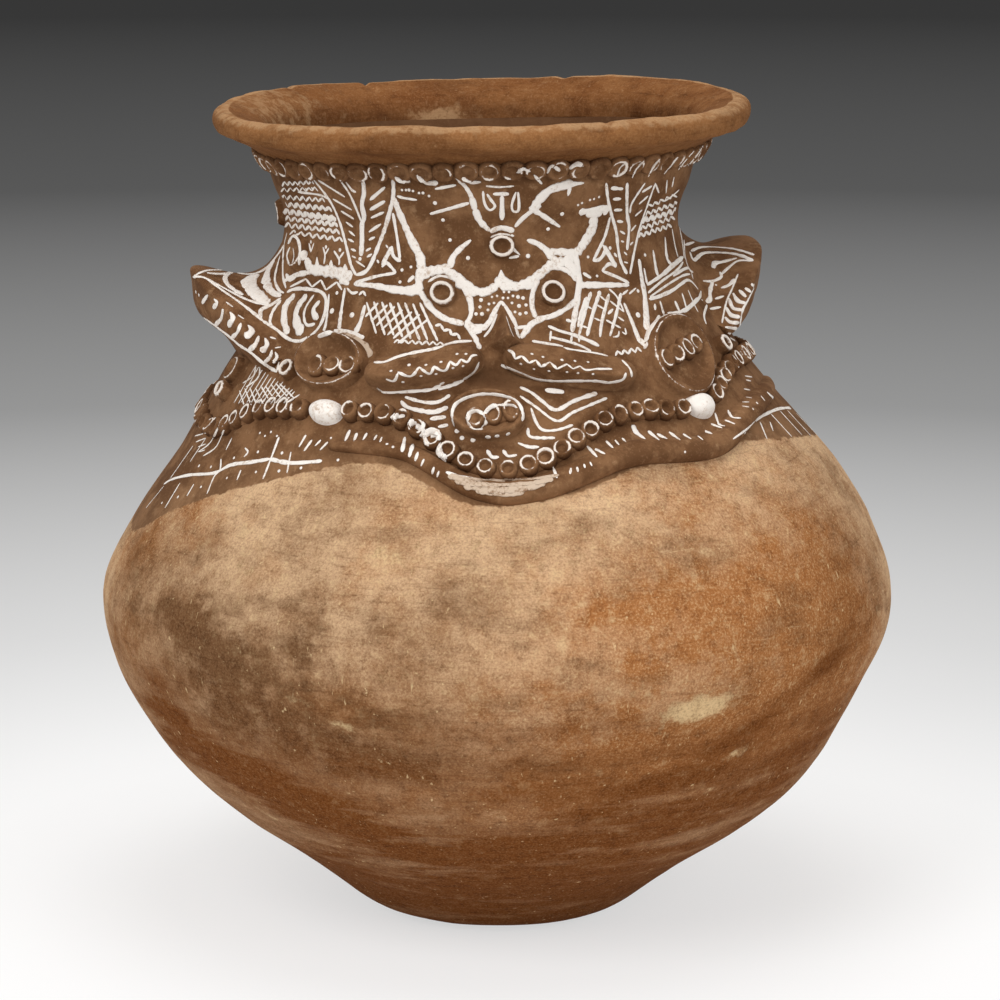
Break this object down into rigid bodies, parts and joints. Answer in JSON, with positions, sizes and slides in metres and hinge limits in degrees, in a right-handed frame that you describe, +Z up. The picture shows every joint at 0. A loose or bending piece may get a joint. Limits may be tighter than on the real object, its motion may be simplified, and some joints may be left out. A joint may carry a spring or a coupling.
{
  "type": "sago storage jar",
  "caption": "Round-bellied coil-built clay jar with a flaring lip; applied spirit face, ear lugs and finger-pressed chains on a dark slipped neck painted in lime. Stores sago.",
  "frame": {"origin": "middle of the flat resting face under the base", "axes": "+Z up the jar, -Y out of the spirit face, +X to the right as seen from the front"},
  "size_m": [0.4966, 0.4966, 0.5178],
  "materials": {
    "clay": "unglazed low-fired clay, mottled tan to orange with fire clouds",
    "slip": "matt brown slip with lime-white painting",
    "lime": "chalky lime coat on clay"
  },
  "bodies": {
    "root": {"base_cup": "clay", "coil_course_1": "clay", "coil_course_2": "clay", "coil_course_3": "clay", "coil_course_4": "clay", "coil_course_5": "clay", "rim_lip": "clay", "coil_course_6": "slip", "coil_course_7": "slip", "coil_course_8": "slip", "coil_course_9": "slip", "rim_fillet": "slip", "forehead_button": "slip", "eye_button_left": "slip", "eye_button_right": "slip", "nose_beak": "slip", "mouth_lobe_left": "slip", "mouth_lobe_right": "slip", "cheek_saucer_left": "slip", "cheek_strip_left": "slip", "cheek_saucer_right": "slip", "cheek_strip_right": "slip", "chin_medallion": "slip", "chin_strip": "slip", "temple_pellet_left": "slip", "temple_pellet_right": "slip", "side_pellet": "slip", "neck_saucer": "slip", "upper_saucer": "slip", "side_saucer": "slip", "ear_lug_left": "slip", "ear_lug_right": "slip", "chain_front": "slip", "chain_right": "slip", "chain_back": "slip", "chain_left": "slip", "shoulder_ledge": "slip", "lime_pellet_left": "lime", "lime_pellet_right": "lime"}
  },
  "joints": []
}
